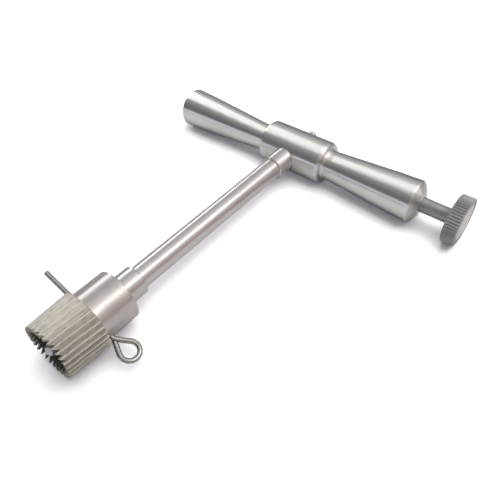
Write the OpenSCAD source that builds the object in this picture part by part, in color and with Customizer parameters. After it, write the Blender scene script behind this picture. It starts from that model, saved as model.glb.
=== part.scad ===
// Hand trepan: a T-handle, a hollow spindle and a fluted conical crown with a sliding centre point.
// The handle lies along X, the spindle points along -Y, and the lowest edge of the crown is at z = 0.

/* [Handle] */
// Reach of each arm, from the handle's middle to the edge of its end
arm_l = 54.6; // [48:0.2:64]
// Shift of the handle's middle from the spindle axis towards the plain end
arm_shift = 1.1; // [0:0.1:2]
// Diameter of each arm where its end barrel starts
swell_d = 15.44; // [14.6:0.02:16]
// Half angle of the arms' taper towards the hub, in degrees
arm_taper = 4.18; // [3:0.02:5]
// Length of the barrel at each end
barrel_l = 9.4; // [6:0.1:14]
// Diameter of the barrel at its outer end
end_d = 16.3; // [15:0.1:18]
// Height of the domed ends
dome_h = 2.6; // [1.6:0.1:3.4]
// Diameter of the flat in the middle of each dome
dome_flat_d = 7.4; // [7:0.1:9]
// Radius of the edge round each dome
end_round = 0.8; // [0.3:0.1:1.6]
// Diameter of the hub
hub_d = 16.9; // [15.5:0.1:19]
// Length of the hub's straight cylinder
hub_l = 25.4; // [22:0.2:30]
// Shift of the hub's middle towards the clamp screw
hub_shift = 1.8; // [0:0.1:3]
// Radius of the hub's rounded edges
hub_round = 1.6; // [0.6:0.1:2]
// Radius of the hollow between the hub and each neck
neck_fillet = 1.3; // [0.4:0.1:1.8]

/* [Spindle] */
// Diameter of the spindle
spindle_d = 8; // [7.6:0.1:8.8]
// Bare length of the spindle between its hub ferrule and its shoulder ring
spindle_l = 71.6; // [50:0.2:90]
// Step from the spindle down to the tenon that is soldered into the hub
tenon_step = 0.7; // [0.4:0.05:0.9]
// Wall of the hub between the tenon and the bore of the clamp screw
tenon_wall = 0.9; // [0.5:0.1:1.4]
// Step from the spindle down to its nose inside the socket
nose_step = 0.5; // [0.2:0.05:0.8]
// Wall of the ferrule at the hub
ferrule_wall = 0.6; // [0.5:0.05:1.2]
// Length of the ferrule that stands out of the hub
ferrule_l = 7.2; // [5:0.1:10]
// Depth of the ferrule's seat under the crest of the hub
ferrule_seat = 2.5; // [2:0.1:2.8]
// Chamfer on the ferrule's front edge
ferrule_chamfer = 0.35; // [0.1:0.05:0.5]
// Wall of the shoulder ring behind the socket
ring_wall = 1.15; // [0.8:0.05:2]
// Length of the shoulder ring
ring_l = 7.4; // [5:0.1:10]
// Radius of the shoulder ring's edges
ring_round = 0.4; // [0.2:0.05:0.5]

/* [Head] */
// Diameter of the socket
socket_d = 17.6; // [16.4:0.1:18.6]
// Length of the socket behind the crown
socket_l = 12.5; // [10:0.1:18]
// Radius of the socket's rear edge
socket_round = 0.4; // [0.2:0.1:1.2]
// Diameter of the spigot that holds the crown
spigot_d = 14; // [12:0.1:14.6]
// Length of the spigot, and thickness of the crown's rear web
web_l = 2.4; // [1.6:0.1:4]
// Diameter over the flutes at the crown's rear edge
crown_rear_d = 20.54; // [19.8:0.02:22]
// Diameter over the teeth at the crown's rim
crown_rim_d = 19.32; // [18:0.02:20]
// Length of the crown
crown_l = 14.85; // [12:0.05:18]
// Wall of the crown over the flutes
crown_wall = 1.7; // [1.4:0.05:2.2]
// Chamfer on the crown's rear edge
crown_chamfer = 0.3; // [0.1:0.05:0.6]
// Number of teeth, each at the end of one flute
tooth_count = 31; // [24:1:36]
// Depth of a flute
flute_depth = 0.95; // [0.4:0.05:1.1]
// How far a flute turns about the axis on its way to the rim, in degrees
flute_turn = 4.3; // [0:0.1:8]
// Depth of the notch between two teeth
tooth_depth = 1.7; // [1:0.05:2.2]
// Width of the ridge left between two flutes at the rim
ridge_w = 0.16; // [0.08:0.02:0.3]

/* [Centre point] */
// Diameter of the rod
rod_d = 3.5; // [3:0.05:3.8]
// Length of the three-sided point
point_l = 1.8; // [1.2:0.1:4]
// Turn of the point's first flat about the rod, in degrees
flat_turn = 55; // [0:1:119]
// How far the tip stands out past the teeth
point_out = 0.6; // [0:0.1:2]
// How far the rod's tail stands out behind the hub
tail_out = 5.4; // [4:0.1:8]
// Radius of the tail's rounded edge
tail_round = 0.9; // [0.3:0.1:1.2]
// Travel of the point forward from its place here
advance = 2.4; // [1:0.1:3]
// Travel of the point back from its place here
retract = 7; // [4:0.1:8]

/* [Lock pin] */
// Diameter of the wire
wire_d = 1.7; // [1.4:0.05:1.9]
// Distance from the crown's rear face to the middle of the wire
lock_back = 1.2; // [1.15:0.05:3]
// Turn of the pin about the spindle, eye downwards, in degrees
lock_turn = 20.3; // [0:0.1:30]
// Length of the plain end outside the socket
lock_out = 11.6; // [5:0.1:16]
// Distance from the socket to the corner where the eye's two legs meet
eye_stand = 0.9; // [0.8:0.1:2]
// Length of the eye from that corner to its outer edge
eye_l = 10; // [9:0.1:13]
// Outside width of the eye
eye_w = 7.8; // [6.4:0.1:8]
// Lean of the eye towards the handle, in degrees
eye_lean = 7; // [0:0.5:10]
// Bend radius where the eye opens, at the middle of the wire
eye_bend = 2; // [1.4:0.1:2.2]
// Chamfer on the wire's plain end
wire_chamfer = 0.2; // [0.1:0.05:0.4]

/* [Clamp screw] */
// Diameter of the plain shank
screw_d = 5.64; // [5.3:0.02:6.2]
// Bare length of the shank between the handle and the knob
screw_out = 11.1; // [6:0.1:16]
// Diameter over the thread
thread_d = 4.8; // [4.2:0.1:5]
// Length of the threaded end
thread_l = 18; // [12:0.5:26]
// Diameter of the knob
knob_d = 17.96; // [15:0.02:18.6]
// Thickness of the knob
knob_l = 4.8; // [4:0.1:7]
// Chamfer on the knob's edges
knob_chamfer = 0.3; // [0.1:0.05:0.6]
// Number of knurl ridges round the knob
knurl_count = 52; // [40:1:64]
// Depth of the knurl
knurl_depth = 0.4; // [0.2:0.02:0.5]
// Width of the ridge left between two grooves of the knurl
knurl_ridge = 0.14; // [0.06:0.02:0.3]
// Diameter of the stub that holds the knob
stub_d = 4; // [3:0.1:4.6]
// Length of the stub
stub_l = 3.2; // [2:0.1:3.6]
// Length of the pressure pad at the screw's tip
pad_l = 5; // [4:0.1:7]
// Diameter of the screw's tip inside the pad
pivot_d = 2.4; // [1.8:0.1:3]
// Length of the screw's tip inside the pad
pivot_l = 3; // [2:0.1:3.4]
// Width of the countersink where the shank leaves the handle
screw_sink = 0.5; // [0.2:0.05:1]

/* [Fits] */
// Radial clearance of pieces that are soldered or pressed together
fit = 0.02; // [0.01:0.01:0.05]
// Radial clearance of pieces that slide or turn
run = 0.05; // [0.02:0.01:0.09]
// Gap round the ferrule in its seat in the hub
seat_gap = 0.12; // [0.05:0.01:0.3]
// Gap between the pressure pad and the rod, at the ends of blind holes and at the eye's free end
clamp_gap = 0.1; // [0.05:0.01:0.3]
// Gap between the shank's shoulder and the step in the handle's bore
shoulder_gap = 1; // [0.5:0.1:2]

/* [Hidden] */
$fn = 96;
// Overlap of a cutting shape past the face that it opens
cut = 1;
// Steps in a quarter of a rounded edge
arc_steps = 8;
// Swell of the wire in a bend, and how far a straight piece laps into it
wire_swell = 0.01;
wire_lap = 0.1;

hub_r = hub_d / 2;
end_r = end_d / 2;
hub_plain_end = hub_shift - hub_l / 2;
hub_screw_end = hub_shift + hub_l / 2;

// Stations along the spindle, measured from the handle's axis towards the crown
thread_bore_r = thread_d / 2 + run;
seat_s = hub_r - ferrule_seat;
tenon_s = thread_bore_r + tenon_wall;
ferrule_s = hub_r + ferrule_l;
ring_s = ferrule_s + spindle_l;
socket_s = ring_s + ring_l;
crown_s = socket_s + socket_l;
nose_s = crown_s + web_l;
rim_s = crown_s + crown_l;
tip_s = rim_s + point_out;
tail_s = -hub_r - tail_out;
lock_s = crown_s - lock_back;

crown_rear_r = crown_rear_d / 2;
crown_rim_r = crown_rim_d / 2;
crown_angle = atan((crown_rear_r - crown_rim_r) / crown_l);
tooth_pitch = 360 / tooth_count;
flute_angle = tooth_pitch - ridge_w / crown_rim_r * 180 / PI;
flute_w = crown_rim_r * sin(flute_angle);
flute_shift = crown_rear_r * sin(flute_turn);
flute_l = norm([crown_l, crown_rear_r - crown_rim_r, flute_shift]);

spindle_r = spindle_d / 2;
tenon_r = spindle_r - tenon_step;
nose_r = spindle_r - nose_step;
ferrule_r = spindle_r + fit + ferrule_wall;
ring_r = spindle_r + fit + ring_wall;
socket_r = socket_d / 2;
spigot_r = spigot_d / 2;
rod_r = rod_d / 2;
rod_bore_r = rod_r + run;
wire_r = wire_d / 2;
wire_hole_r = wire_r + run;

// The eye, in the plane of the pin and the spindle: a ring with two straight tangent legs
eye_r = eye_w / 2 - wire_r;
eye_middle = eye_l - eye_w / 2;
eye_corner = socket_r + eye_stand;
eye_angle = asin(eye_r / eye_middle);
eye_leg = eye_middle * cos(eye_angle);
eye_turn = eye_lean + eye_angle;
eye_setback = eye_bend * tan(eye_turn / 2);

// The domed ends: centre, from the plane of the edge, and radius of the dome, and where its edge meets it
dome_flat_r = dome_flat_d / 2;
dome_c = (pow(dome_h, 2) - pow(end_r, 2) + pow(dome_flat_r, 2)) / (2 * dome_h);
dome_r = norm([end_r, dome_c]);
dome_from = acos((end_r - end_round) / (dome_r - end_round));
dome_to = acos(dome_flat_r / dome_r);

// Stations along the handle
plain_reach = arm_l + arm_shift;
screw_reach = arm_l - arm_shift;
screw_end_x = screw_reach + dome_h;
pad_x = rod_r + clamp_gap;
thread_x = pad_x + pad_l;
shank_x = thread_x + thread_l;
knob_x = screw_end_x + screw_out;
shank_bore_r = screw_d / 2 + run;
bore_step_x = shank_x - shoulder_gap;
sink_l = screw_sink + cut;

// Middle of the whole part, which is put over the origin
mid_x = (knob_x + knob_l - plain_reach - dome_h) / 2;
mid_y = -(tip_s + tail_s) / 2;

module in_frame() {
    translate([-mid_x, -mid_y, crown_rear_r])
        children();
}

// Turns a shape made along +Z so that it runs along the spindle, towards the crown
module along_spindle() {
    rotate([90, 0, 0])
        children();
}

// Turns a shape made along +Z so that it runs along the handle, towards the knob
module along_handle() {
    rotate([0, 90, 0])
        children();
}

// Turns a shape made along +Z so that it runs along the lock pin, towards its eye
module along_lock_pin() {
    translate([0, -lock_s, 0])
        rotate([0, lock_turn, 0])
            along_handle()
                children();
}

// Points of an arc about a centre, from one angle to another, with or without its first point
function arc(centre, r, from, to, first = 0) =
    [for (i = [first:arc_steps]) centre + r * [cos(from + (to - from) * i / arc_steps),
        sin(from + (to - from) * i / arc_steps)]];

// Radius of an arm's tapered part at a distance from the spindle axis, for an arm of some reach
function arm_r(x, reach) = swell_d / 2 - (reach - barrel_l - x) * tan(arm_taper);

// Outline of one arm as [radius, distance from the spindle axis], from the hub's end outwards
function arm_outline(hub_end, reach) =
    let (face = hub_end + hub_round,
        neck = face + neck_fillet,
        neck_r = arm_r(neck, reach),
        fillet = min(neck_fillet, hub_r - hub_round - neck_r),
        dome_x = reach + dome_c)
    concat(
        [[0, 0], [hub_r, 0]],
        arc([hub_r - hub_round, hub_end], hub_round, 0, 90),
        arc([neck_r + fillet, face + fillet], fillet, 270, 180),
        [[swell_d / 2, reach - barrel_l]],
        arc([end_r - end_round, dome_x + (dome_r - end_round) * sin(dome_from)], end_round, 0, dome_from),
        arc([0, dome_x], dome_r, dome_from, dome_to, first = 1),
        [[0, reach + dome_h]]);

module arm(hub_end, reach) {
    rotate_extrude()
        polygon(arm_outline(hub_end, reach));
}

// A turned ring with rounded outer edges
module turned_ring(outer_r, inner_r, length, edge_r) {
    rotate_extrude()
        polygon(concat(
            [[inner_r, 0]],
            arc([outer_r - edge_r, edge_r], edge_r, -90, 0),
            arc([outer_r - edge_r, length - edge_r], edge_r, 0, 90),
            [[inner_r, length]]));
}

module handle() {
    color("gainsboro")
        in_frame()
            difference() {
                union() {
                    along_handle()
                        arm(hub_screw_end, screw_reach);
                    mirror([1, 0, 0])
                        along_handle()
                            arm(-hub_plain_end, plain_reach);
                }
                along_spindle() {
                    translate([0, 0, -hub_d])
                        cylinder(r = rod_bore_r, h = 2 * hub_d);
                    translate([0, 0, tenon_s])
                        cylinder(r = tenon_r + fit, h = hub_d);
                    translate([0, 0, seat_s])
                        cylinder(r = ferrule_r + seat_gap, h = hub_d);
                }
                along_handle() {
                    cylinder(r = thread_bore_r, h = screw_end_x);
                    translate([0, 0, bore_step_x])
                        cylinder(r = shank_bore_r, h = screw_end_x);
                    translate([0, 0, screw_end_x - screw_sink])
                        cylinder(r1 = shank_bore_r, r2 = shank_bore_r + sink_l, h = sink_l);
                }
            }
}

module spindle() {
    color("silver")
        in_frame()
            difference() {
                along_spindle()
                    rotate_extrude()
                        polygon([
                            [rod_bore_r, tenon_s],
                            [tenon_r, tenon_s],
                            [tenon_r, seat_s],
                            [spindle_r, seat_s],
                            [spindle_r, socket_s],
                            [nose_r, socket_s],
                            [nose_r, nose_s],
                            [rod_bore_r, nose_s]]);
                along_lock_pin()
                    translate([0, 0, -spindle_d])
                        cylinder(r = wire_hole_r, h = 2 * spindle_d);
            }
}

module hub_ferrule() {
    color("lightgray")
        in_frame()
            along_spindle()
                rotate_extrude()
                    polygon([
                        [spindle_r + fit, seat_s],
                        [ferrule_r, seat_s],
                        [ferrule_r, ferrule_s - ferrule_chamfer],
                        [ferrule_r - ferrule_chamfer, ferrule_s],
                        [spindle_r + fit, ferrule_s]]);
}

module shoulder_ring() {
    color("lightgray")
        in_frame()
            along_spindle()
                translate([0, 0, ring_s])
                    turned_ring(ring_r, spindle_r + fit, ring_l, ring_round);
}

module socket() {
    color("silver")
        in_frame()
            difference() {
                along_spindle()
                    rotate_extrude()
                        polygon(concat(
                            [[nose_r + fit, socket_s]],
                            arc([socket_r - socket_round, socket_s + socket_round], socket_round, -90, 0),
                            [[socket_r, crown_s], [spigot_r, crown_s], [spigot_r, nose_s],
                                [nose_r + fit, nose_s]]));
                along_lock_pin()
                    translate([0, 0, -socket_d])
                        cylinder(r = wire_hole_r, h = 2 * socket_d);
            }
}

// One saw-toothed groove along the crown's slope, its steep wall in the plane y = 0 at the rim
module flute() {
    translate([crown_rim_r, 0, crown_l])
        rotate([0, -crown_angle, 0])
            rotate([-asin(flute_shift / flute_l), 0, 0])
                translate([0, 0, -flute_l - cut])
                    linear_extrude(height = flute_l + 2 * cut)
                        polygon([
                            [-flute_depth, 0],
                            [cut, 0],
                            (crown_rim_r + cut) * [cos(flute_angle), sin(flute_angle)] - [crown_rim_r, 0],
                            crown_rim_r * [cos(flute_angle), sin(flute_angle)] - [crown_rim_r, 0]]);
}

// One saw-toothed notch in the rim, its steep wall in the plane y = 0
module tooth_notch() {
    translate([crown_rim_r - crown_wall - cut, 0, crown_l])
        rotate([90, 0, 90])
            linear_extrude(height = crown_wall + 2 * cut)
                polygon([[0, -tooth_depth], [flute_w, 0], [flute_w + cut, cut], [0, cut]]);
}

module crown() {
    color("tan")
        in_frame()
            along_spindle()
                translate([0, 0, crown_s])
                    difference() {
                        rotate_extrude()
                            polygon([
                                [spigot_r + fit, 0],
                                [crown_rear_r - crown_chamfer, 0],
                                [crown_rear_r, crown_chamfer],
                                [crown_rim_r, crown_l],
                                [crown_rim_r - crown_wall, crown_l],
                                [crown_rear_r - crown_wall, web_l],
                                [spigot_r + fit, web_l]]);
                        for (i = [0:tooth_count - 1])
                            rotate([0, 0, i * tooth_pitch + flute_turn - 90]) {
                                flute();
                                tooth_notch();
                            }
                    }
}

// A slot through the rod lets it slide past the lock pin, and its ends stop the travel
module rod_slot() {
    slot_rear = lock_s - wire_hole_r - advance;
    slot_front = lock_s + wire_hole_r + retract;
    rotate([0, lock_turn, 0])
        translate([-rod_d, -slot_front, -wire_hole_r])
            cube([2 * rod_d, slot_front - slot_rear, 2 * wire_hole_r]);
}

// One flat of the point, which leans from the tip to the side of the rod
module point_flat() {
    translate([0, 0, tip_s])
        rotate([0, -atan(rod_r / point_l), 0])
            translate([0, -rod_d, -2 * point_l])
                cube([2 * rod_d, 2 * rod_d, 3 * point_l]);
}

module centre_point() {
    color("gray")
        in_frame()
            difference() {
                along_spindle()
                    difference() {
                        rotate_extrude()
                            polygon(concat(
                                [[0, tail_s]],
                                arc([rod_r - tail_round, tail_s + tail_round], tail_round, -90, 0),
                                [[rod_r, tip_s], [0, tip_s]]));
                        for (i = [0:2])
                            rotate([0, 0, flat_turn + i * 120])
                                point_flat();
                    }
                rod_slot();
            }
}

// A bent piece of wire in the plane x = 0, about a centre, from one angle to another
module wire_bend(bend_r, from, to) {
    rotate([0, -90, 0])
        rotate([0, 0, from])
            rotate_extrude(angle = to - from)
                translate([bend_r, 0])
                    circle(r = wire_r + wire_swell);
}

// A straight leg of the eye, from near its corner to its ring
module straight_leg(lean, from) {
    rotate([lean, 0, 0])
        translate([0, 0, from])
            cylinder(r = wire_r, h = eye_leg + wire_lap - from);
}

// The leg that ends the wire, cut so that its end lies along the other leg
module free_leg() {
    difference() {
        straight_leg(eye_angle, 0);
        rotate([-eye_angle, 0, 0])
            translate([-wire_d, -wire_r - clamp_gap, -2 * wire_d])
                cube([2 * wire_d, 3 * wire_d, 4 * wire_d]);
    }
}

module lock_pin() {
    straight_l = lock_out + socket_r + eye_corner - eye_setback + wire_lap;
    color("darkgray")
        in_frame()
            along_lock_pin() {
                translate([0, 0, -socket_r - lock_out]) {
                    cylinder(r1 = wire_r - wire_chamfer, r2 = wire_r, h = wire_chamfer);
                    translate([0, 0, wire_chamfer])
                        cylinder(r = wire_r, h = straight_l - wire_chamfer);
                }
                translate([0, eye_bend, eye_corner - eye_setback])
                    wire_bend(eye_bend, -90, eye_turn - 90);
                translate([0, 0, eye_corner])
                    rotate([-eye_lean, 0, 0]) {
                        straight_leg(-eye_angle, eye_setback - wire_lap);
                        free_leg();
                        translate([0, 0, eye_middle])
                            wire_bend(eye_r, -90 - eye_angle, 90 + eye_angle);
                    }
            }
}

module pressure_pad() {
    color("goldenrod")
        in_frame()
            along_handle()
                translate([0, 0, pad_x])
                    difference() {
                        cylinder(r = thread_d / 2, h = pad_l);
                        translate([0, 0, pad_l - pivot_l - clamp_gap])
                            cylinder(r = pivot_d / 2 + run, h = pad_l);
                    }
}

module clamp_screw() {
    color("dimgray")
        in_frame()
            along_handle()
                rotate_extrude()
                    polygon([
                        [0, thread_x - pivot_l],
                        [pivot_d / 2, thread_x - pivot_l],
                        [pivot_d / 2, thread_x + clamp_gap],
                        [thread_d / 2, thread_x + clamp_gap],
                        [thread_d / 2, shank_x],
                        [screw_d / 2, shank_x],
                        [screw_d / 2, knob_x],
                        [stub_d / 2, knob_x],
                        [stub_d / 2, knob_x + stub_l],
                        [0, knob_x + stub_l]]);
}

// One groove of the knurl, along the knob's edge
module knurl_groove() {
    groove_half = knob_d / 2 * sin(180 / knurl_count) - knurl_ridge / 2;
    translate([0, 0, -cut])
        linear_extrude(height = knob_l + 2 * cut)
            polygon([
                [knob_d / 2 - knurl_depth, 0],
                [knob_d / 2 + knurl_depth, 2 * groove_half],
                [knob_d / 2 + knurl_depth, -2 * groove_half]]);
}

module knob() {
    color("dimgray")
        in_frame()
            along_handle()
                translate([0, 0, knob_x])
                    difference() {
                        rotate_extrude()
                            polygon([
                                [0, stub_l + clamp_gap],
                                [stub_d / 2 + fit, stub_l + clamp_gap],
                                [stub_d / 2 + fit, 0],
                                [knob_d / 2 - knob_chamfer, 0],
                                [knob_d / 2, knob_chamfer],
                                [knob_d / 2, knob_l - knob_chamfer],
                                [knob_d / 2 - knob_chamfer, knob_l],
                                [0, knob_l]]);
                        for (i = [0:knurl_count - 1])
                            rotate([0, 0, i * 360 / knurl_count])
                                knurl_groove();
                    }
}

handle();
spindle();
hub_ferrule();
shoulder_ring();
socket();
crown();
centre_point();
lock_pin();
pressure_pad();
clamp_screw();
knob();
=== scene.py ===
import math
import random

import bmesh
import bpy
from mathutils import Matrix, Vector


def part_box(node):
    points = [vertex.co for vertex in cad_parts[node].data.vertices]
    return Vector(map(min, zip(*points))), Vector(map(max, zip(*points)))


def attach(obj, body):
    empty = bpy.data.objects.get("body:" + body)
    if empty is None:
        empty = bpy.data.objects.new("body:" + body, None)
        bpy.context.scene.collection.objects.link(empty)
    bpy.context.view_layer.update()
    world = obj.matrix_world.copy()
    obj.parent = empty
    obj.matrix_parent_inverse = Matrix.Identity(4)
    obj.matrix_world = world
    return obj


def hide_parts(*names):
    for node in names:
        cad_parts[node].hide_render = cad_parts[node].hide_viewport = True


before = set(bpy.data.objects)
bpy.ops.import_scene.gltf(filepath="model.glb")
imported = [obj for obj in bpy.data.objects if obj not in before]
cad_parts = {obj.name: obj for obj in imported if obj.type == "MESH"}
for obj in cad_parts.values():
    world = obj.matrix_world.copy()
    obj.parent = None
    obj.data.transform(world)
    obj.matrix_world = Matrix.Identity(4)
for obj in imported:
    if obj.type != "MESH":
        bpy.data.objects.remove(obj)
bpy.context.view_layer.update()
print("frame loaded:", len(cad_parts), "nodes")

mm = 0.001
fullTurn = 2 * math.pi
scene = bpy.context.scene
scene.view_settings.view_transform = "Standard"

# the two lines that everything is turned about, from the frame
handleLow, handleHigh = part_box("handle")
spindleLow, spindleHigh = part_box("spindle")
spindleX = (spindleLow.x + spindleHigh.x) / 2
handleY = (handleLow.y + handleHigh.y) / 2
axisZ = (handleLow.z + handleHigh.z) / 2


# places in millimetres: across and up from the line, and along it from where the two lines cross
def onSpindle(across, up, along):
    return Vector((spindleX + across * mm, handleY - along * mm, axisZ + up * mm))


def onHandle(across, up, along):
    return Vector((spindleX + along * mm, handleY + across * mm, axisZ + up * mm))


def spindleReach(node):
    low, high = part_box(node)
    return (handleY - high.y) / mm, (handleY - low.y) / mm


def handleReach(node):
    low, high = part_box(node)
    return (low.x - spindleX) / mm, (high.x - spindleX) / mm


def widthAcross(node):
    low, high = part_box(node)
    return (high.z - low.z) / mm


# mesh tools

meshLook = {
    "turnSteps": 256,         # sides of a turned piece
    "arcSteps": 8,            # steps in a rounded edge
    "holdEdge": 0.03,         # mm, keeps the shading of long faces flat beside a rounded edge
    "sharpAngle": math.radians(32),
    "weld": 1e-8,             # metres within which two points become one
}


def turnedOutline(corners, closed=False):
    # corners are (radius, along, rounding) in mm, and a rounding of 0 leaves the corner as it is
    points = []
    for i, (radius, along, rounding) in enumerate(corners):
        here = Vector((radius, along))
        isEnd = not closed and i in (0, len(corners) - 1)
        if rounding == 0 or isEnd:
            points.append(here)
            continue
        back = (Vector(corners[i - 1][:2]) - here).normalized()
        ahead = (Vector(corners[(i + 1) % len(corners)][:2]) - here).normalized()
        half = back.angle(ahead) / 2
        reach = rounding / math.tan(half)
        centre = here + (back + ahead).normalized() * rounding / math.sin(half)
        start = here + back * reach - centre
        sweep = start.angle_signed(here + ahead * reach - centre)
        points.append(here + back * (reach + meshLook["holdEdge"]))
        for step in range(meshLook["arcSteps"] + 1):
            turn = -sweep * step / meshLook["arcSteps"]
            points.append(centre + Matrix.Rotation(turn, 2) @ start)
        points.append(here + ahead * (reach + meshLook["holdEdge"]))
    return points


def keepMesh(name, made):
    bmesh.ops.remove_doubles(made, verts=made.verts, dist=meshLook["weld"])
    bmesh.ops.recalc_face_normals(made, faces=made.faces)
    for face in made.faces:
        face.smooth = True
    mesh = bpy.data.meshes.new(name)
    made.to_mesh(mesh)
    made.free()
    mesh.set_sharp_from_angle(angle=meshLook["sharpAngle"])
    piece = bpy.data.objects.new(name, mesh)
    scene.collection.objects.link(piece)
    return piece


def roundMesh(name, place, angles, outlineAt, closed=False):
    # one outline for each angle, joined to the next all the way round
    made = bmesh.new()
    columns = []
    for angle in angles:
        c, s = math.cos(angle), math.sin(angle)
        columns.append([made.verts.new(place(r * c, r * s, along)) for r, along in outlineAt(angle)])
    rows = len(columns[0])
    for i, column in enumerate(columns):
        nextColumn = columns[(i + 1) % len(columns)]
        for k in range(rows if closed else rows - 1):
            m = (k + 1) % rows
            made.faces.new((column[k], nextColumn[k], nextColumn[m], column[m]))
    return keepMesh(name, made)


def turnedPiece(name, place, corners, closed=False):
    outline = turnedOutline(corners, closed)
    steps = meshLook["turnSteps"]
    angles = [fullTurn * k / steps for k in range(steps)]
    return roundMesh(name, place, angles, lambda angle: outline, closed)


def plainDrill(name, place, radius, start, end):
    return turnedPiece(name, place, [(0, start, 0), (radius, start, 0), (radius, end, 0), (0, end, 0)])


def boxPiece(name, low, high, place):
    # the cube that it starts from reaches half a unit each way
    made = bmesh.new()
    bmesh.ops.create_cube(made, size=1)
    for v in made.verts:
        v.co = place(*(a + (b - a) * (t + 0.5) for a, b, t in zip(low, high, v.co)))
    return keepMesh(name, made)


def drill(piece, *drills):
    for each in drills:
        cut = piece.modifiers.new(each.name, "BOOLEAN")
        cut.operation = "DIFFERENCE"
        cut.solver = "EXACT"
        cut.object = each
    depsgraph = bpy.context.evaluated_depsgraph_get()
    mesh = bpy.data.meshes.new_from_object(piece.evaluated_get(depsgraph))
    piece.modifiers.clear()
    piece.data = mesh
    mesh.set_sharp_from_angle(angle=meshLook["sharpAngle"])
    for each in drills:
        bpy.data.objects.remove(each)


def dress(piece, node, body, finish):
    piece.data.materials.clear()
    piece.data.materials.append(finish)
    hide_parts(node)
    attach(piece, body)
    print("made", piece.name, len(piece.data.polygons), "faces")


# node tools

def newFinish(name):
    material = bpy.data.materials.new(name)
    material.use_nodes = True
    tree = material.node_tree
    return material, tree, tree.nodes["Principled BSDF"]


def addNode(tree, kind, inputs=None, **settings):
    node = tree.nodes.new(kind)
    for key, value in settings.items():
        setattr(node, key, value)
    for key, value in (inputs or {}).items():
        if isinstance(value, bpy.types.NodeSocket):
            tree.links.new(value, node.inputs[key])
        else:
            node.inputs[key].default_value = value
    return node


def spread(tree, value, low, high, fromLow=0.0, fromHigh=1.0):
    ranged = addNode(tree, "ShaderNodeMapRange", {
        "Value": value, "From Min": fromLow, "From Max": fromHigh, "To Min": low, "To Max": high})
    return ranged.outputs["Result"]


def mathOf(tree, first, second, operation="ADD"):
    return addNode(tree, "ShaderNodeMath", {0: first, 1: second}, operation=operation).outputs[0]


def vectorMath(tree, operation, *values):
    return addNode(tree, "ShaderNodeVectorMath", dict(enumerate(values)), operation=operation).outputs


def blendOf(tree, share, first, second):
    # the first and second are tints or sockets
    mix = addNode(tree, "ShaderNodeMix", data_type="RGBA")
    sockets = [s for s in mix.inputs if s.enabled]
    for socket, value in zip(sockets, (share, first, second)):
        if isinstance(value, bpy.types.NodeSocket):
            tree.links.new(value, socket)
        else:
            socket.default_value = (*value, 1)
    return next(s for s in mix.outputs if s.enabled)


def noiseOf(tree, vector, scale, detail=3, roughness=0.6, dimensions="3D"):
    entry = "W" if dimensions == "1D" else "Vector"
    node = addNode(tree, "ShaderNodeTexNoise", {
        entry: vector, "Scale": scale, "Detail": detail, "Roughness": roughness}, noise_dimensions=dimensions)
    return node.outputs["Fac"]


def acrossLine(tree, place, start, across):
    # a place counted from the line's start, the part of that across the line, and the length of that part
    fromStart = vectorMath(tree, "SUBTRACT", place, start)[0]
    flat = vectorMath(tree, "MULTIPLY", fromStart, across)[0]
    return fromStart, flat, vectorMath(tree, "LENGTH", flat)["Value"]


def bumpBy(tree, shader, height, depth):
    bump = addNode(tree, "ShaderNodeBump", {"Height": height, "Strength": 1.0, "Distance": depth * mm})
    tree.links.new(bump.outputs["Normal"], shader.inputs["Normal"])


latheLook = {
    "wideRing": 9,                # fine rings in a wide one
    "wideDepth": 2.0,             # how much deeper a wide one is
    "smudged": (0.35, 0.7),       # noise at which a smudge starts and is full
    "glossNoise": (0.3, 0.7),     # noise at which the gloss is at its ends
    "smudgeGloss": 0.03,
    "shineTurn": 0.25,            # of a turn, which lays the shine along the axis
}


def turnedSteel(name, look):
    # steel off the lathe: rings round the axis, which draw the shine out along it
    lathe = latheLook
    material, tree, shader = newFinish(name)
    place = addNode(tree, "ShaderNodeTexCoord").outputs["Object"]
    along = addNode(tree, "ShaderNodeSeparateXYZ", {0: place}).outputs[look["axis"]]
    ringScale = look["ringsPerMm"] / mm
    fineRings = noiseOf(tree, along, ringScale, dimensions="1D")
    wideRings = noiseOf(tree, along, ringScale / lathe["wideRing"], detail=2, roughness=0.5, dimensions="1D")
    smudge = noiseOf(tree, place, look["smudgesPerMm"] / mm, detail=4)
    tint = blendOf(tree, spread(tree, smudge, 0, 1, *lathe["smudged"]), look["tint"], look["smear"])
    tree.links.new(tint, shader.inputs["Base Color"])
    ringGloss = spread(tree, fineRings, -look["ringGloss"], look["ringGloss"])
    glossy, dull = look["roughness"] - lathe["smudgeGloss"], look["roughness"] + lathe["smudgeGloss"]
    smudgeGloss = spread(tree, smudge, glossy, dull, *lathe["glossNoise"])
    tree.links.new(mathOf(tree, ringGloss, smudgeGloss), shader.inputs["Roughness"])
    wideHeight = mathOf(tree, wideRings, lathe["wideDepth"], "MULTIPLY")
    bumpBy(tree, shader, mathOf(tree, fineRings, wideHeight), look["ringDepth"])
    roundAxis = addNode(tree, "ShaderNodeTangent", direction_type="RADIAL", axis=look["axis"])
    tree.links.new(roundAxis.outputs["Tangent"], shader.inputs["Tangent"])
    shader.inputs["Metallic"].default_value = 1.0
    shader.inputs["Anisotropic"].default_value = look["drawnShine"]
    shader.inputs["Anisotropic Rotation"].default_value = lathe["shineTurn"]
    return material


# the cross handle

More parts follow.
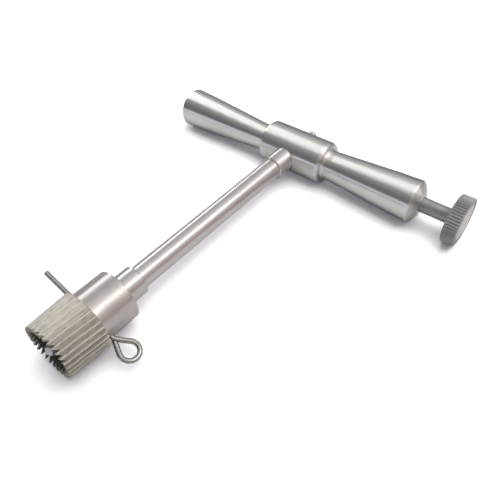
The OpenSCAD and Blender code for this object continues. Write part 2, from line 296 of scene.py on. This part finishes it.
handleLook = {
    "hubFrom": -10.9,
    "hubTo": 14.5,
    "hubRounding": 1.6,
    "neckFillet": 1.3,
    "taper": math.radians(4.18),
    "swellRadius": 7.72,
    "swellRounding": 0.6,
    "barrelLength": 9.4,
    "endRadius": 8.15,
    "endRounding": 0.8,
    "domeHeight": 2.6,
    "domeFlat": 3.7,
    "domeSteps": 8,
    "flatEdge": 0.1,
    "seatGap": 0.12,          # dark ring round the ferrule
    "rodHole": 1.8,
    "screwHole": 2.87,
    "screwSink": 0.5,
    "drillOver": 1.0,         # mm that the screw's drill runs past both ends of its hole
}
handleSteel = {
    "axis": "X",
    "tint": (0.80, 0.795, 0.775),
    "smear": (0.75, 0.745, 0.73),
    "roughness": 0.345,
    "drawnShine": 0.97,
    "ringsPerMm": 6.0,
    "ringDepth": 0.0004,
    "ringGloss": 0.05,
    "smudgesPerMm": 0.12,
}


def makeHandle():
    look = handleLook
    hubRadius = widthAcross("handle") / 2
    plainEnd, reach = handleReach("handle")

    # the dome is part of a ball whose middle lies inside the arm
    endRadius, height = look["endRadius"], look["domeHeight"]
    ballBack = (endRadius ** 2 - look["domeFlat"] ** 2 - height ** 2) / 2 / height
    ball = math.hypot(endRadius, ballBack)

    def dome(edge):
        first, last = math.acos(endRadius / ball), math.acos(look["domeFlat"] / ball)
        turns = [first + (last - first) * k / look["domeSteps"] for k in range(1, look["domeSteps"])]
        return [(ball * math.cos(turn), edge - ballBack + ball * math.sin(turn), 0) for turn in turns]

    def arm(side, hubEnd, end):
        face = abs(hubEnd) + look["hubRounding"]
        edge = abs(end) - height
        barrelFrom = edge - look["barrelLength"]
        neck = look["swellRadius"] - (barrelFrom - face - look["neckFillet"]) * math.tan(look["taper"])
        corners = [
            (hubRadius, face, look["hubRounding"]),
            (neck, face, look["neckFillet"]),
            (look["swellRadius"], barrelFrom, look["swellRounding"]),
            (endRadius, edge, look["endRounding"]),
            *dome(edge),
            (look["domeFlat"], abs(end), look["flatEdge"]),
            (0, abs(end), 0),
        ]
        return [(radius, side * along, rounding) for radius, along, rounding in corners]

    corners = arm(-1, look["hubFrom"], plainEnd)[::-1] + arm(1, look["hubTo"], reach)
    handle = turnedPiece("handleBody", onHandle, corners)

    through = 2 * hubRadius
    seatRadius = widthAcross("hub_ferrule") / 2 + look["seatGap"]
    seat = plainDrill("seatDrill", onSpindle, seatRadius, spindleReach("hub_ferrule")[0], through)
    rodHole = plainDrill("rodDrill", onSpindle, look["rodHole"], -through, through)
    screwFrom = handleReach("pressure_pad")[0] - look["drillOver"]
    screwTo = reach + look["drillOver"]
    sink = look["screwHole"] + look["screwSink"]
    screwHole = turnedPiece("screwDrill", onHandle, [
        (0, screwFrom, 0), (look["screwHole"], screwFrom, 0),
        (look["screwHole"], reach - look["screwSink"], 0), (sink, reach, 0),
        (sink, screwTo, 0), (0, screwTo, 0)])
    drill(handle, seat, rodHole, screwHole)
    dress(handle, "handle", "frame", turnedSteel("handleSteel", handleSteel))


makeHandle()


# the lock pin's line, which the spindle and the socket are drilled along

pinLook = {
    "turn": math.radians(20.3),   # eye downwards
    "behindCrown": 1.2,
    "wireRadius": 0.85,
    "holeRadius": 0.9,
    "plainOut": 11.6,
    "eyeStand": 0.9,              # from the socket to where the two legs would meet
    "eyeLength": 10.0,
    "eyeWidth": 7.8,
    "eyeLean": math.radians(7),   # towards the handle
    "bend": 2.0,
    "bendStep": math.radians(6),
    "leastSteps": 4,              # in a bend
    "endGap": 0.1,
    "endChamfer": 0.2,
    "wireSides": 32,
}
socketRadius = widthAcross("socket") / 2
pinAlongSpindle = spindleReach("crown")[0] - pinLook["behindCrown"]
pinDirection = Vector((math.cos(pinLook["turn"]), 0, -math.sin(pinLook["turn"])))
pinUp = Vector((math.sin(pinLook["turn"]), 0, math.cos(pinLook["turn"])))
pinRear = Vector((0, 1, 0))


def onPin(rearwards, up, along):
    middle = onSpindle(0, 0, pinAlongSpindle)
    return middle + (pinRear * rearwards + pinUp * up + pinDirection * along) * mm


def pinDrill(name, reach):
    return plainDrill(name, onPin, pinLook["holeRadius"], -reach, reach)


# the spindle with its ferrule and shoulder ring

spindleLook = {
    "bore": 1.8,
    "tenonRadius": 3.3,
    "noseRadius": 3.5,
    "edge": 0.08,
    "ferruleChamfer": 0.35,
    "ringRounding": 0.4,
    "slip": 0.02,             # mm between the pressed pieces
}
spindleSteel = {
    "axis": "Y",
    "tint": (0.72, 0.69, 0.677),
    "smear": (0.66, 0.63, 0.618),
    "roughness": 0.43,
    "drawnShine": 0.78,
    "ringsPerMm": 5.0,
    "ringDepth": 0.0004,
    "ringGloss": 0.05,
    "smudgesPerMm": 0.1,
}
spindleFinish = turnedSteel("spindleSteel", spindleSteel)


def makeSpindle():
    look = spindleLook
    rear, front = spindleReach("spindle")
    seat, ferruleFront = spindleReach("hub_ferrule")
    ringRear, ringFront = spindleReach("shoulder_ring")
    radius = widthAcross("spindle") / 2
    spindle = turnedPiece("spindleTube", onSpindle, [
        (look["bore"], rear, 0), (look["tenonRadius"], rear, 0), (look["tenonRadius"], seat, 0),
        (radius, seat, 0), (radius, ringFront, 0), (look["noseRadius"], ringFront, 0),
        (look["noseRadius"], front, 0), (look["bore"], front, 0)], closed=True)
    drill(spindle, pinDrill("noseDrill", 2 * radius))
    dress(spindle, "spindle", "frame", spindleFinish)

    inside = radius + look["slip"]
    ferruleRadius = widthAcross("hub_ferrule") / 2
    chamfer = look["ferruleChamfer"]
    ferrule = turnedPiece("hubFerrule", onSpindle, [
        (inside, seat, 0), (ferruleRadius, seat, 0),
        (ferruleRadius, ferruleFront - chamfer, look["edge"]),
        (ferruleRadius - chamfer, ferruleFront, look["edge"]), (inside, ferruleFront, 0)], closed=True)
    dress(ferrule, "hub_ferrule", "frame", spindleFinish)

    ringRadius = widthAcross("shoulder_ring") / 2
    ring = turnedPiece("shoulderRing", onSpindle, [
        (inside, ringRear, 0), (ringRadius, ringRear, look["ringRounding"]),
        (ringRadius, ringFront, look["ringRounding"]), (inside, ringFront, 0)], closed=True)
    dress(ring, "shoulder_ring", "frame", spindleFinish)


makeSpindle()


# the socket

socketLook = {
    "rearRounding": 0.4,
    "frontEdge": 0.05,
    "jointGap": 0.2,          # dark line where the crown meets it
    "jointDepth": 0.8,
    "spigotRadius": 7.0,
    "noseHole": 3.52,
}
socketSteel = {
    "axis": "Y",
    "tint": (0.69, 0.653, 0.635),
    "smear": (0.625, 0.59, 0.577),
    "roughness": 0.47,
    "drawnShine": 0.74,
    "ringsPerMm": 5.0,
    "ringDepth": 0.0004,
    "ringGloss": 0.05,
    "smudgesPerMm": 0.1,
}


def makeSocket():
    look = socketLook
    rear, front = spindleReach("socket")
    crownRear = spindleReach("crown")[0]
    jointRear = crownRear - look["jointGap"]
    jointRadius = socketRadius - look["jointDepth"]
    socket = turnedPiece("crownSocket", onSpindle, [
        (look["noseHole"], rear, 0), (socketRadius, rear, look["rearRounding"]),
        (socketRadius, jointRear, look["frontEdge"]), (jointRadius, jointRear, 0),
        (jointRadius, crownRear, 0), (look["spigotRadius"], crownRear, 0),
        (look["spigotRadius"], front, 0), (look["noseHole"], front, 0)], closed=True)
    drill(socket, pinDrill("socketDrill", 2 * socketRadius))
    dress(socket, "socket", "frame", turnedSteel("socketSteel", socketSteel))


makeSocket()


# the crown with its flutes and teeth

crownLook = {
    "teeth": 31,
    "fluteDepth": 0.95,
    "toothDepth": 1.7,
    "ridgeRounding": 0.16,
    "rimRadius": 9.66,
    "wall": 1.7,
    "chamfer": 0.3,
    "web": 2.4,
    "spigotHole": 7.02,
    "steepWall": 0.12,            # mm round the rim that the steep wall takes
    "lean": math.radians(4.3),    # how far a flute turns about the axis on its way to the rim
    "uneven": 0.16,               # how much hand-filed flutes differ
    "lengthSteps": 10,
    "seed": 7,
}
crownSteel = {
    "tint": (0.45, 0.43, 0.375),
    "smear": (0.35, 0.33, 0.295),
    "patchesPerMm": 0.35,
    "patched": (0.35, 0.68),      # noise at which a patch starts and is full
    "grain": (0.17, 0.16, 0.14),
    "grained": (0.48, 0.66),      # noise at which a dark file mark starts and is full
    "grainShare": 0.6,
    # rubbed bright ridges: partly wear, partly a painted highlight
    "wornHighlight": (0.45, 0.43, 0.395),
    "wornHighlightDepth": 0.18,            # mm down from a ridge that is rubbed bright, partly wear and partly a painted highlight
    # painted shade on the faces in the crown's hollow
    "inside": (0.11, 0.105, 0.10),
    "paintedShadeFacing": (-0.3, -0.1),     # in rim radii, how far towards the axis a face painted dark and a plain face look
    "roughness": (0.52, 0.68),
    "glossNoise": (0.3, 0.7),
    "metallic": 0.35,
    "fileMarksPerMm": 3.0,
    "drawnOut": 0.12,             # marks along a flute for each one across it
    "markDepth": 0.006,
}


def filedSteel():
    # matt steel with file marks that run along the flutes
    look = crownSteel
    material, tree, shader = newFinish("crownSteel")
    place = addNode(tree, "ShaderNodeTexCoord").outputs["Object"]
    scale = (1, look["drawnOut"], 1)
    drawn = addNode(tree, "ShaderNodeMapping", {"Vector": place, "Scale": scale}).outputs[0]
    marks = noiseOf(tree, drawn, look["fileMarksPerMm"] / mm)
    patches = noiseOf(tree, drawn, look["patchesPerMm"] / mm, detail=4)
    tint = blendOf(tree, spread(tree, patches, 0, 1, *look["patched"]), look["tint"], look["smear"])
    tint = blendOf(tree, spread(tree, marks, 0, look["grainShare"], *look["grained"]), tint, look["grain"])

    # ridges are rubbed bright, a tint that is partly wear and partly a painted highlight, and how far a place
    # lies below them is counted from the cone round the flutes
    rear, front = spindleReach("crown")
    rearRadius, rimRadius = widthAcross("crown") / 2, crownLook["rimRadius"]
    fromRear, flat, radius = acrossLine(tree, place, onSpindle(0, 0, rear), (1, 0, 1))
    along = addNode(tree, "ShaderNodeSeparateXYZ", {0: fromRear}).outputs["Y"]
    cone = spread(tree, along, rearRadius * mm, rimRadius * mm, 0, (rear - front) * mm)
    wornHighlight = spread(tree, mathOf(tree, cone, radius, "SUBTRACT"), 1, 0, 0, look["wornHighlightDepth"] * mm)
    tint = blendOf(tree, wornHighlight, tint, look["wornHighlight"])

    # painted shade: the faces in the hollow, which look towards the axis, are painted dark
    facing = addNode(tree, "ShaderNodeTexCoord").outputs["Normal"]
    outwards = vectorMath(tree, "DOT_PRODUCT", flat, facing)["Value"]
    paintedHollowShade = spread(tree, outwards, 1, 0, *(share * rimRadius * mm for share in look["paintedShadeFacing"]))
    tint = blendOf(tree, paintedHollowShade, tint, look["inside"])
    tree.links.new(tint, shader.inputs["Base Color"])
    rough = spread(tree, marks, *look["roughness"], *look["glossNoise"])
    tree.links.new(rough, shader.inputs["Roughness"])
    bumpBy(tree, shader, marks, look["markDepth"])
    shader.inputs["Metallic"].default_value = look["metallic"]
    return material


def makeCrown():
    look = crownLook
    rear, front = spindleReach("crown")
    length = front - rear
    rearRadius = widthAcross("crown") / 2
    pitch = fullTurn / look["teeth"]
    chance = random.Random(look["seed"])
    depths = [1 - look["uneven"] * chance.random() for _ in range(look["teeth"])]
    underside = -math.pi / 2      # the first steep wall

    # one flute across, as (height, way round the rim) in mm: a gentle slope, the ridge and the steep wall
    across = pitch * look["rimRadius"]
    ridge = (look["fluteDepth"], across - look["steepWall"], look["ridgeRounding"])
    slope = turnedOutline([(0, 0, 0), ridge, (0, across, 0)])
    crest = max(height for height, _ in slope)
    falls = [(way / across, (crest - height) / crest) for height, way in slope[:-1]]
    angles = [pitch * (tooth + share) for tooth in range(look["teeth"]) for share, _ in falls]
    fallAt = {angle: falls[number % len(falls)][1] * depths[number // len(falls)]
              for number, angle in enumerate(angles)}

    def cone(along):
        return rearRadius + (look["rimRadius"] - rearRadius) * along / length

    def outlineAt(angle):
        fall = fallAt[angle]
        groove = look["fluteDepth"] * fall
        top = length - look["toothDepth"] * fall
        side = [(cone(t) - groove, t) for t in
                (look["chamfer"] + (top - look["chamfer"]) * k / look["lengthSteps"]
                 for k in range(look["lengthSteps"] + 1))]
        points = [(look["spigotHole"], 0), (rearRadius - look["chamfer"] - groove, 0), *side,
                  (look["rimRadius"] - look["wall"], top),
                  (rearRadius - look["wall"], look["web"]), (look["spigotHole"], look["web"])]
        return [(radius, rear + along) for radius, along in points]

    def fromUnderside(across, up, along):
        turn = underside + look["lean"] * (along - rear) / length
        c, s = math.cos(turn), math.sin(turn)
        return onSpindle(across * c - up * s, across * s + up * c, along)

    crown = roundMesh("flutedCrown", fromUnderside, angles, outlineAt, closed=True)
    dress(crown, "crown", "frame", filedSteel())


makeCrown()


# the sliding centre point

pointLook = {
    "pointLength": 1.8,
    "tailRounding": 0.9,
    "tipFlat": 0.03,          # mm from the tip to where the flats would meet
    "flats": 3,
    "firstFlat": math.radians(55),
    "advance": 2.4,
    "retract": 7.0,
}
rodSteel = {
    "axis": "Y",
    "tint": (0.70, 0.695, 0.70),
    "smear": (0.63, 0.625, 0.63),
    "roughness": 0.4,
    "drawnShine": 0.4,
    "ringsPerMm": 6.0,
    "ringDepth": 0.001,
    "ringGloss": 0.05,
    "smudgesPerMm": 0.3,
}


def makeCentrePoint():
    look = pointLook
    tail, tip = spindleReach("centre_point")
    radius = widthAcross("centre_point") / 2
    rod = turnedPiece("centrePoint", onSpindle, [
        (0, tail, 0), (radius, tail, look["tailRounding"]), (radius, tip, 0), (0, tip, 0)])
    made = bmesh.new()
    made.from_mesh(rod.data)
    lean = math.atan(radius / look["pointLength"])
    meeting = onSpindle(0, 0, tip - look["tipFlat"])
    for k in range(look["flats"]):
        side = look["firstFlat"] + fullTurn * k / look["flats"]
        outwards = Vector((math.cos(side), 0, math.sin(side))) * math.cos(lean)
        cutNormal = outwards + Vector((0, -1, 0)) * math.sin(lean)
        everything = [*made.verts, *made.edges, *made.faces]
        cut = bmesh.ops.bisect_plane(
            made, geom=everything, plane_co=meeting, plane_no=cutNormal, clear_outer=True)
        edges = [e for e in cut["geom_cut"] if isinstance(e, bmesh.types.BMEdge)]
        bmesh.ops.edgeloop_fill(made, edges=edges)
    made.to_mesh(rod.data)
    made.free()
    half = pinLook["holeRadius"]
    slotLow = (-half - look["retract"], -half, -2 * radius)
    slotHigh = (half + look["advance"], half, 2 * radius)
    drill(rod, boxPiece("rodSlot", slotLow, slotHigh, onPin))
    for face in rod.data.polygons:
        face.use_smooth = True
    dress(rod, "centre_point", "point", turnedSteel("rodSteel", rodSteel))


makeCentrePoint()


# the wire lock pin with its eye

wireSteel = {
    "tint": (0.48, 0.467, 0.445),
    "smear": (0.42, 0.41, 0.39),
    "patchesPerMm": 0.4,
    "patched": (0.35, 0.68),      # noise at which a patch starts and is full
    "roughness": (0.18, 0.32),
    "glossNoise": (0.3, 0.7),
    "marksPerMm": 4.0,
    "markDepth": 0.001,
}


def drawnWire():
    look = wireSteel
    material, tree, shader = newFinish("wireSteel")
    place = addNode(tree, "ShaderNodeTexCoord").outputs["Object"]
    marks = noiseOf(tree, place, look["marksPerMm"] / mm)
    patches = noiseOf(tree, place, look["patchesPerMm"] / mm)
    tint = blendOf(tree, spread(tree, patches, 0, 1, *look["patched"]), look["tint"], look["smear"])
    tree.links.new(tint, shader.inputs["Base Color"])
    rough = spread(tree, marks, *look["roughness"], *look["glossNoise"])
    tree.links.new(rough, shader.inputs["Roughness"])
    bumpBy(tree, shader, marks, look["markDepth"])
    shader.inputs["Metallic"].default_value = 1.0
    return material


def wirePath(start, moves):
    # a path in the plane of the eye, made of straight runs and bends: spots (along, rearwards) and headings
    spot, heading = Vector(start), 0.0
    path = [(spot.copy(), heading)]
    for radius, amount in moves:
        if radius == 0:
            spot = spot + Vector((math.cos(heading), math.sin(heading))) * amount
            path.append((spot.copy(), heading))
            continue
        steps = max(pinLook["leastSteps"], round(abs(amount) / pinLook["bendStep"]))
        side = math.copysign(1, amount)
        centre = spot + Vector((-math.sin(heading), math.cos(heading))) * radius * side
        for _ in range(steps):
            heading += amount / steps
            spot = centre - Vector((-math.sin(heading), math.cos(heading))) * radius * side
            path.append((spot.copy(), heading))
    return path


def makeLockPin():
    look = pinLook
    wire = look["wireRadius"]
    eyeRadius = look["eyeWidth"] / 2 - wire
    eyeMiddle = look["eyeLength"] - look["eyeWidth"] / 2
    corner = socketRadius + look["eyeStand"]
    opening = math.asin(eyeRadius / eyeMiddle)
    leg = eyeMiddle * math.cos(opening)
    slope = look["eyeLean"] + opening
    setback = look["bend"] * math.tan(slope / 2)
    start = -socketRadius - look["plainOut"]
    path = wirePath((start, 0), [
        (0, look["endChamfer"]),
        (0, corner - setback - start - look["endChamfer"]),
        (look["bend"], slope),
        (0, leg - setback),
        (eyeRadius, -math.pi - 2 * opening),
        (0, leg),
    ])
    # the free end is cut so that it lies along the other leg
    legNormal = Vector((-math.sin(slope), math.cos(slope)))
    cornerSpot = Vector((corner, 0))
    made = bmesh.new()
    loops = []
    for number, (spot, heading) in enumerate(path):
        radius = wire - look["endChamfer"] if number == 0 else wire
        ahead = Vector((math.cos(heading), math.sin(heading)))
        loop = []
        for k in range(look["wireSides"]):
            angle = fullTurn * k / look["wireSides"]
            point = spot + Vector((-ahead.y, ahead.x)) * radius * math.cos(angle)
            if number == len(path) - 1:
                reach = legNormal.dot(point - cornerSpot) + wire + look["endGap"]
                point = point - ahead * reach / legNormal.dot(ahead)
            loop.append(made.verts.new(onPin(point.y, radius * math.sin(angle), point.x)))
        loops.append(loop)
    for near, far in zip(loops, loops[1:]):
        for k in range(look["wireSides"]):
            m = (k + 1) % look["wireSides"]
            made.faces.new((near[k], near[m], far[m], far[k]))
    made.faces.new(loops[0])
    made.faces.new(loops[-1])
    pin = keepMesh("lockPin", made)
    dress(pin, "lock_pin", "pin", drawnWire())


makeLockPin()


# the clamp screw and its knob

screwLook = {
    "pivotRadius": 1.2,
    "pivotLength": 3.0,
    "threadRadius": 2.4,
    "threadLength": 18.0,
    "padGap": 0.1,            # mm that the thread keeps from the pad
    "stubRadius": 2.0,
    "edge": 0.1,
}
knobLook = {
    "ridges": 52,
    "knurlDepth": 0.4,
    "ridgeWidth": 0.14,
    "sideShares": (0.06, 0.28),   # of a pitch from the middle of a groove, where its sides have lines
    "chamfer": 0.3,
    "rimStep": 0.02,              # mm at least from the face's edge to the rim
    "faceEdge": 0.12,
    "stubHole": 2.02,
    "stubDepth": 3.3,
}
screwSteel = {
    "axis": "X",
    # painted highlight on the knob's flat face
    "face": (0.74, 0.72, 0.70),
    "faceHighlightPatch": (6.0, 7.2),      # mm from the middle in which the painted highlight ends
    "faceHighlightFacing": (0.9, 0.99),    # how far outwards a plain and a painted-bright face look
    "tint": (0.47, 0.465, 0.46),
    "smear": (0.40, 0.395, 0.39),
    "roughness": 0.66,
    "drawnShine": 0.4,
    "ringsPerMm": 4.0,
    "ringDepth": 0.002,
    "ringGloss": 0.06,
    "smudgesPerMm": 0.2,
}


def darkSteel():
    # dark all over, and the knob's flat face is painted bright, a painted highlight
    look = screwSteel
    material = turnedSteel("screwSteel", look)
    tree = material.node_tree
    base = tree.nodes["Principled BSDF"].inputs["Base Color"]
    spot = addNode(tree, "ShaderNodeTexCoord").outputs
    outwards = addNode(tree, "ShaderNodeSeparateXYZ", {0: spot["Normal"]}).outputs["X"]
    _, _, radius = acrossLine(tree, spot["Object"], onHandle(0, 0, 0), (0, 1, 1))
    faceHighlightArea = spread(tree, radius, 1, 0, *(end * mm for end in look["faceHighlightPatch"]))
    # painted highlight on the middle of the face that looks outwards
    paintedFaceHighlight = mathOf(tree, spread(tree, outwards, 0, 1, *look["faceHighlightFacing"]), faceHighlightArea, "MULTIPLY")
    tree.links.new(blendOf(tree, paintedFaceHighlight, base.links[0].from_socket, look["face"]), base)
    return material


screwFinish = darkSteel()


def makeScrew():
    look = screwLook
    tip, stubEnd = handleReach("clamp_screw")
    knobRear = handleReach("knob")[0]
    radius = widthAcross("clamp_screw") / 2
    threadFrom = tip + look["pivotLength"] + look["padGap"]
    shankFrom = tip + look["pivotLength"] + look["threadLength"]
    screw = turnedPiece("clampScrew", onHandle, [
        (0, tip, 0), (look["pivotRadius"], tip, look["edge"]), (look["pivotRadius"], threadFrom, 0),
        (look["threadRadius"], threadFrom, look["edge"]), (look["threadRadius"], shankFrom, 0),
        (radius, shankFrom, look["edge"]), (radius, knobRear, 0), (look["stubRadius"], knobRear, 0),
        (look["stubRadius"], stubEnd, 0), (0, stubEnd, 0)])
    dress(screw, "clamp_screw", "screw", screwFinish)


def makeKnob():
    # a ridge stands in the middle of each pitch, and a groove where two meet
    look = knobLook
    rear, front = handleReach("knob")
    radius = widthAcross("knob") / 2
    pitch = fullTurn / look["ridges"]
    ridge = look["ridgeWidth"] / radius / pitch / 2
    sides = look["sideShares"]
    shares = [0.0, *sides, 0.5 - ridge, 0.5 + ridge, *(1 - share for share in reversed(sides))]
    angles = [pitch * (tooth + share) for tooth in range(look["ridges"]) for share in shares]
    chamfer = look["chamfer"]
    holeEnd = rear + look["stubDepth"]

    def outlineAt(angle):
        share = angle / pitch % 1
        fall = min(1.0, abs(share - 0.5) / 0.5)
        groove = look["knurlDepth"] * max(0.0, (fall - 2 * ridge) / (1 - 2 * ridge))
        rim = radius - groove
        faceRim = min(radius - chamfer, rim - look["rimStep"])
        return [
            (0, holeEnd), (look["stubHole"], holeEnd), (look["stubHole"], rear),
            (faceRim, rear), (rim, rear + chamfer), (rim, front - chamfer),
            (faceRim, front), (faceRim - look["faceEdge"], front), (0, front)]

    knob = roundMesh("knurledKnob", onHandle, angles, outlineAt)
    dress(knob, "knob", "screw", screwFinish)


makeScrew()
makeKnob()


# the pressure pad keeps its own shape, inside the handle

padBrass = {
    "axis": "X",
    "tint": (0.60, 0.42, 0.17),
    "smear": (0.48, 0.33, 0.13),
    "roughness": 0.32,
    "drawnShine": 0.4,
    "ringsPerMm": 5.0,
    "ringDepth": 0.001,
    "ringGloss": 0.05,
    "smudgesPerMm": 0.3,
}
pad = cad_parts["pressure_pad"]
pad.data.materials.clear()
pad.data.materials.append(turnedSteel("padBrass", padBrass))


# the table, which touches the crown, the knob and the plain grip

white = (1, 1, 1)
floorLook = {
    "size": 3.0,
    "roughness": 0.9,
    "tint": (0.94, 0.94, 0.95),
    "mirrored": (0.45, 0.45, 0.46),   # how pale the metal sees it
    "behind": (0.12, 0.12, 0.13),     # the same far behind the handle
    "fade": (0.09, 0.18),             # metres along the spindle in which it darkens
    "glow": (0.055, 0.05, 0.07),      # a little light of its own for the camera
    "white": (0.2, 0.5),              # metres from the middle in which that grows to white
}


def makeFloor():
    look = floorLook
    crownRear = spindleReach("crown")[0]
    knobRear, knobFront = handleReach("knob")
    gripEnd = handleReach("handle")[0] + handleLook["domeHeight"] + handleLook["endRounding"]
    touches = [
        onSpindle(0, -widthAcross("crown") / 2, crownRear),
        onHandle(0, -widthAcross("knob") / 2, (knobRear + knobFront) / 2),
        onHandle(0, -handleLook["endRadius"], gripEnd),
    ]
    across = (touches[1] - touches[2]).normalized()
    upwards = across.cross(touches[1] - touches[0]).normalized()
    inwards = upwards.cross(across)
    middle = sum(touches, Vector()) / len(touches)
    half = look["size"] / 2
    made = bmesh.new()
    made.faces.new([made.verts.new(middle + across * a * half + inwards * b * half)
                    for a, b in ((-1, -1), (1, -1), (1, 1), (-1, 1))])
    floor = keepMesh("table", made)
    material, tree, shader = newFinish("tableTop")
    shader.inputs["Roughness"].default_value = look["roughness"]
    shader.inputs["Specular IOR Level"].default_value = 0.0
    path = addNode(tree, "ShaderNodeLightPath").outputs["Is Camera Ray"]
    place = addNode(tree, "ShaderNodeNewGeometry").outputs["Position"]
    depth = addNode(tree, "ShaderNodeSeparateXYZ", {0: place}).outputs["Y"]
    mirrored = blendOf(tree, spread(tree, depth, 0, 1, *look["fade"]), look["mirrored"], look["behind"])
    tree.links.new(blendOf(tree, path, mirrored, look["tint"]), shader.inputs["Base Color"])
    distance = vectorMath(tree, "LENGTH", place)["Value"]
    glow = blendOf(tree, spread(tree, distance, 0, 1, *look["white"]), look["glow"], white)
    tree.links.new(glow, shader.inputs["Emission Color"])
    tree.links.new(path, shader.inputs["Emission Strength"])
    floor.data.materials.append(material)


makeFloor()


# light: two long soft boxes that the metal mirrors, a thin bluish line low in front,
# a broad soft box overhead that throws the shadows, and a grey room

lampLook = {
    "right": {"about": "Y", "elevation": 57, "shift": 0.15, "length": 0.42, "width": 0.15, "power": 0.88,
              "tint": (1.0, 0.985, 0.95), "mirrored": True, "shadows": False},
    "left": {"about": "Y", "elevation": 146, "shift": 0.15, "length": 0.42, "width": 0.06, "power": 0.88,
             "tint": (1.0, 0.985, 0.95), "mirrored": True, "shadows": True},
    "front": {"about": "X", "elevation": 7, "shift": -0.14, "length": 0.38, "width": 0.012, "power": 0.09,
              "tint": (0.75, 0.8, 1.0), "mirrored": True, "shadows": False},
    "top": {"about": "Y", "elevation": 84, "shift": 0.15, "length": 0.7, "width": 0.7, "power": 5.2,
            "tint": (1.0, 0.99, 0.97), "mirrored": False, "shadows": True},
}
lampDistance = 0.6

# the pairs are directions, from -1 to 1, between which the room changes
roomLook = {
    "low": (0.17, 0.167, 0.19),
    "lowRight": (0.40, 0.28, 0.28),
    "lowSides": (0.4, 0.9),
    "high": (0.62, 0.61, 0.64),
    "highRight": (1.35, 1.32, 1.28),
    "highSides": (-0.4, 0.4),
    "heights": (0.1, 0.9),
    "front": 0.4,             # how bright the side in front of the crown is
    "frontDepths": (-0.6, 0.1),
    "frontGlow": 3.0,         # pale table edge low on that side
    "glowHeights": (0.06, 0.22),
    "glowDepths": (-0.7, -0.3),
}


def makeLamp(name, look):
    # the elevation is counted from the right for a box along the spindle, and from the front for one across
    lamp = bpy.data.lights.new(name, "AREA")
    lamp.shape = "RECTANGLE"
    lamp.size = look["width"]
    lamp.size_y = look["length"]
    lamp.energy = look["power"]
    lamp.color = look["tint"]
    thing = bpy.data.objects.new(name, lamp)
    thing.visible_camera = False
    thing.visible_glossy = look["mirrored"]
    thing.visible_diffuse = look["shadows"]
    angle = math.radians(look["elevation"])
    if look["about"] == "Y":
        outwards, lengthways = Vector((math.cos(angle), 0, math.sin(angle))), Vector((0, 1, 0))
    else:
        outwards, lengthways = Vector((0, -math.cos(angle), math.sin(angle))), Vector((1, 0, 0))
    turn = Matrix((lengthways.cross(outwards), lengthways, outwards)).transposed()
    place = onSpindle(0, 0, 0) + lengthways * look["shift"] + outwards * lampDistance
    thing.matrix_world = Matrix.Translation(place) @ turn.to_4x4()
    scene.collection.objects.link(thing)


def makeRoom():
    look = roomLook
    world = bpy.data.worlds.new("room")
    scene.world = world
    world.use_nodes = True
    tree = world.node_tree
    ground = tree.nodes["Background"]
    place = addNode(tree, "ShaderNodeTexCoord").outputs["Generated"]
    side, depth, height = addNode(tree, "ShaderNodeSeparateXYZ", {0: place}).outputs
    low = blendOf(tree, spread(tree, side, 0, 1, *look["lowSides"]), look["low"], look["lowRight"])
    high = blendOf(tree, spread(tree, side, 0, 1, *look["highSides"]), look["high"], look["highRight"])
    shade = blendOf(tree, spread(tree, height, 0, 1, *look["heights"]), low, high)
    front = spread(tree, depth, look["front"], 1.0, *look["frontDepths"])
    glow = mathOf(tree, spread(tree, height, look["frontGlow"], 0, *look["glowHeights"]),
                  spread(tree, depth, 1, 0, *look["glowDepths"]), "MULTIPLY")
    path = addNode(tree, "ShaderNodeLightPath").outputs["Is Camera Ray"]
    tree.links.new(blendOf(tree, path, shade, white), ground.inputs["Color"])
    tree.links.new(mathOf(tree, mathOf(tree, front, glow), path, "MAXIMUM"), ground.inputs["Strength"])


for lampName, look in lampLook.items():
    makeLamp(lampName + "Lamp", look)
makeRoom()


# the camera, at the photograph's angle

cameraLook = {
    "across": 97.495,         # mm from where the two lines cross
    "up": 125.157,
    "along": 145.766,
    "ahead": (-0.45304, 0.52457, -0.72082),
    "right": (0.77735, 0.62829, -0.03134),
    "focalLength": 37.57,
    "sensorWidth": 36.0,
    "nearest": 0.01,          # metres
}


def makeCamera():
    look = cameraLook
    camera = bpy.data.cameras.new("camera")
    camera.lens = look["focalLength"]
    camera.sensor_width = look["sensorWidth"]
    camera.clip_start = look["nearest"]
    thing = bpy.data.objects.new("camera", camera)
    ahead = Vector(look["ahead"]).normalized()
    right = Vector(look["right"]).normalized()
    turn = Matrix((right, right.cross(ahead), -ahead)).transposed()
    place = onSpindle(look["across"], look["up"], look["along"])
    thing.matrix_world = Matrix.Translation(place) @ turn.to_4x4()
    scene.collection.objects.link(thing)
    scene.camera = thing


makeCamera()
print("scene ready")
